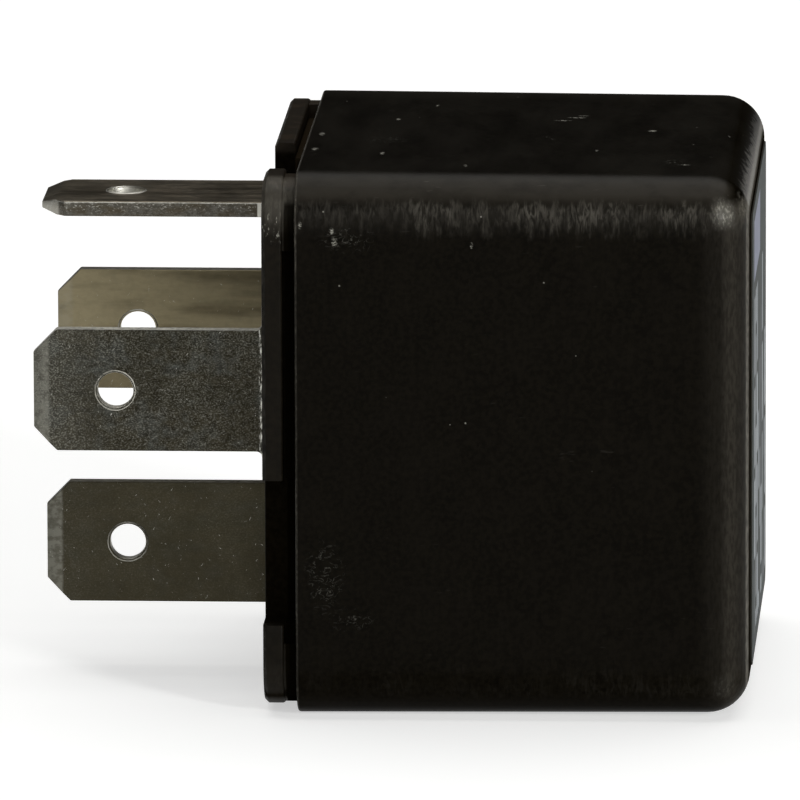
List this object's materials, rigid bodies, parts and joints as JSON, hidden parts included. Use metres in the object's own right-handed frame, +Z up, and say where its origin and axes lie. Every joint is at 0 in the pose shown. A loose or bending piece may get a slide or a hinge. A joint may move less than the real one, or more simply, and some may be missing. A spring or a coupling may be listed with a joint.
{
  "type": "automotive relay",
  "caption": "Plug-in cube relay: flat blade terminals in a square moulded base, a deep cover, and inside it a coil, yoke and hinged armature that closes a pair of contacts.",
  "frame": {"origin": "the middle of the base's outer face, where the relay seats on its socket", "axes": "+X runs from the blades to the closed end of the cover, +Z is up as the relay lies on a side of its cover, and +Y completes the set across the relay"},
  "size_m": [0.0369, 0.0282, 0.0282],
  "materials": {
    "cover_plastic": "moulded, semi-matt, handled",
    "base_plastic": "moulded, matt",
    "label_film": "printed film, satin",
    "tinned_blade": "dull tin plate with fine specks",
    "plated_iron": "bright zinc plate",
    "spring_bronze": "rolled bronze strip",
    "bobbin_plastic": "moulded, matt",
    "enamelled_copper": "enamelled wire, glossy",
    "contact_silver": "silver alloy, satin",
    "resistor_coating": "dipped lacquer",
    "tinned_wire": "tinned wire, satin"
  },
  "bodies": {
    "housing": {"base": "base_plastic", "cover": "cover_plastic", "label": "label_film", "terminal_85": "tinned_blade", "terminal_86": "tinned_blade", "terminal_30": "tinned_blade", "terminal_87": "tinned_blade", "yoke": "plated_iron", "core": "plated_iron", "bobbin": "bobbin_plastic", "coil_winding": "enamelled_copper", "coil_lead_85": "enamelled_copper", "coil_lead_86": "enamelled_copper", "fixed_contact": "contact_silver", "yoke_rivets": "plated_iron", "stop_bracket": "spring_bronze", "resistor_body": "resistor_coating", "resistor_leads": "tinned_wire"},
    "armature": {"armature": "plated_iron", "contact_spring": "spring_bronze", "armature_rivets": "plated_iron", "moving_contact": "contact_silver"}
  },
  "joints": [
    {"name": "armature_pivot", "type": "hinge", "parent": "housing", "child": "armature", "pos_m": [0.019, 0, -0.011], "axis": [0, -1, 0], "range_deg": [0, 3], "stiffness_Nm_per_rad": 0.01, "springref_deg": -5.73, "deforming": ["contact_spring"]}
  ]
}
